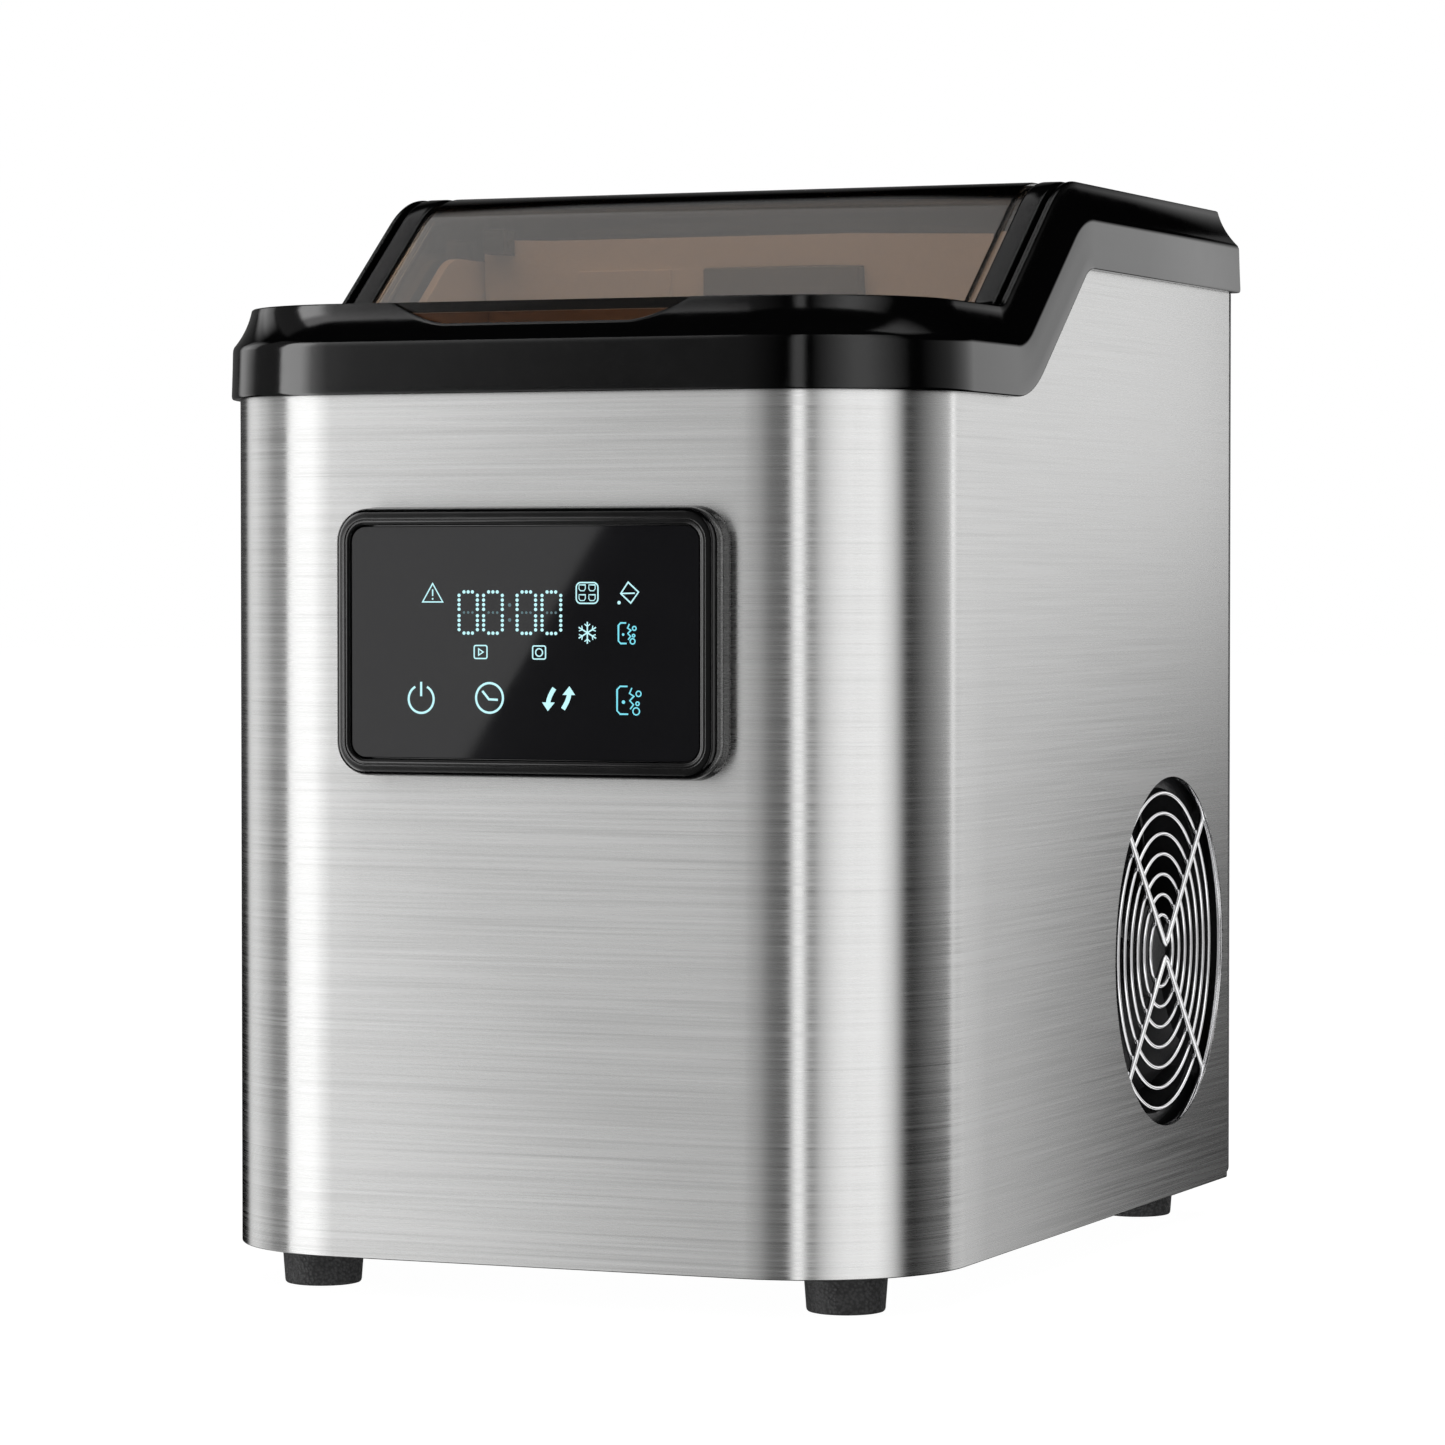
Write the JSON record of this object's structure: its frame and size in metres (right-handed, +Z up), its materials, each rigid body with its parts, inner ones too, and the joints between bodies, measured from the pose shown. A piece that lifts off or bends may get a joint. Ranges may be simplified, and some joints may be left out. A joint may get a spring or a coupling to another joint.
{
  "type": "countertop ice maker",
  "caption": "Countertop bullet-ice maker: brushed steel cabinet on rubber feet, stepped black collar, hinged smoked lid, touch panel and round side fan grille.",
  "frame": {"origin": "middle of the whole box, on the plane that the rubber feet stand on", "axes": "+Z up, +Y from the control panel towards the back, +X towards the side with the fan grille"},
  "size_m": [0.225, 0.306, 0.3201],
  "materials": {
    "brushed_steel": "horizontally brushed stainless steel sheet",
    "gloss_black": "polished black plastic with a little orange peel",
    "smoked_window": "clear smoked plastic",
    "panel_glass": "black touch glass with lit icons behind it",
    "chrome": "chrome plated wire",
    "foot_rubber": "pebbled grey-black rubber",
    "plug_rubber": "soft black rubber",
    "black_metal": "black powder coat",
    "black_plastic": "moulded black plastic",
    "grey_plastic": "moulded dark grey plastic",
    "liner_plastic": "warm light grey food-safe plastic",
    "clear_plastic": "pale grey plastic",
    "scoop_plastic": "clear bluish plastic",
    "motor_steel": "zinc plated steel",
    "nickel": "satin nickel plated copper",
    "aluminium_fin": "thin mill-finish fins",
    "copper": "copper tube",
    "brass_valve": "brass and nickel valve body",
    "compressor_black": "gloss black enamel on steel",
    "foam": "cream insulation foam",
    "board_green": "green circuit board with black parts",
    "hose_clear": "milky silicone hose",
    "pusher_white": "white plastic",
    "loom": "sheathed wires"
  },
  "bodies": {
    "cabinet": {"outer_wrap": "brushed_steel", "rear_panel": "black_metal", "base_pan": "black_metal", "foot_front_left": "foot_rubber", "foot_front_right": "foot_rubber", "foot_rear_left": "foot_rubber", "foot_rear_right": "foot_rubber", "foot_screws": "motor_steel", "top_collar": "gloss_black", "rear_cover": "gloss_black", "hinge_blocks": "gloss_black", "panel_bezel": "gloss_black", "panel_glass": "panel_glass", "control_board": "board_green", "fan_guard": "chrome", "fan_shroud": "black_plastic", "fan_motor": "motor_steel", "condenser_fins": "aluminium_fin", "condenser_tubes": "copper", "compressor": "compressor_black", "compressor_grommets": "foot_rubber", "filter_drier": "copper", "hot_gas_valve": "brass_valve", "suction_line": "copper", "discharge_line": "copper", "inlet_line": "copper", "inner_liner": "liner_plastic", "liner_foam": "foam", "splash_guard": "liner_plastic", "sensor_housing": "grey_plastic", "ice_full_sensors": "black_plastic", "evaporator": "nickel", "evaporator_bracket": "motor_steel", "tray_motor": "motor_steel", "pusher_brackets": "clear_plastic", "pump_housing": "black_plastic", "pump_motor": "black_plastic", "pump_filter": "black_plastic", "water_tube": "hose_clear", "water_level_probe": "black_plastic", "drain_spout": "plug_rubber", "drain_hose": "hose_clear", "power_board": "board_green", "cord_gland": "plug_rubber", "rear_screws": "motor_steel", "wire_loom": "loom"},
    "lid": {"lid_window": "smoked_window", "lid_rail_left": "gloss_black", "lid_rail_right": "gloss_black", "lid_hinge_bar": "gloss_black", "lid_bumpers": "plug_rubber"},
    "fan": {"fan_blade": "black_plastic"},
    "tray": {"water_tray": "clear_plastic", "tray_shafts": "motor_steel"},
    "pusher": {"ice_pusher": "pusher_white"},
    "basket": {"ice_basket": "clear_plastic"},
    "scoop": {"ice_scoop": "scoop_plastic"},
    "impeller": {"pump_impeller": "clear_plastic"},
    "plug": {"drain_plug": "plug_rubber"}
  },
  "joints": [
    {"name": "lid_hinge", "type": "hinge", "parent": "cabinet", "child": "lid", "pos_m": [0, 0.08785, 0.3156], "axis": [-1, 0, 0], "range_deg": [0, 95]},
    {"name": "fan_spin", "type": "hinge", "parent": "cabinet", "child": "fan", "pos_m": [0.097, 0.08875, 0.0878], "axis": [1, 0, 0], "continuous": true},
    {"name": "tray_tilt", "type": "hinge", "parent": "cabinet", "child": "tray", "pos_m": [0, 0.08285, 0.2615], "axis": [1, 0, 0], "range_deg": [0, 65]},
    {"name": "pusher_swing", "type": "hinge", "parent": "cabinet", "child": "pusher", "pos_m": [0, 0.07785, 0.2755], "axis": [1, 0, 0], "range_deg": [-25, 0]},
    {"name": "pump_spin", "type": "hinge", "parent": "cabinet", "child": "impeller", "pos_m": [-0.038, -0.08215, 0.0695], "axis": [0, 0, 1], "continuous": true},
    {"name": "basket_lift", "type": "slide", "parent": "cabinet", "child": "basket", "axis": [0, 0, 1], "range_m": [0, 0.03]},
    {"name": "scoop_lift", "type": "slide", "parent": "basket", "child": "scoop", "axis": [0, 0, 1], "range_m": [0, 0.03]},
    {"name": "drain_pull", "type": "slide", "parent": "cabinet", "child": "plug", "axis": [0, 1, 0], "range_m": [0, 0.015]}
  ],
  "couplings": [
    {"joint": "pusher_swing", "follows": "tray_tilt", "ratio": -0.38461}
  ]
}
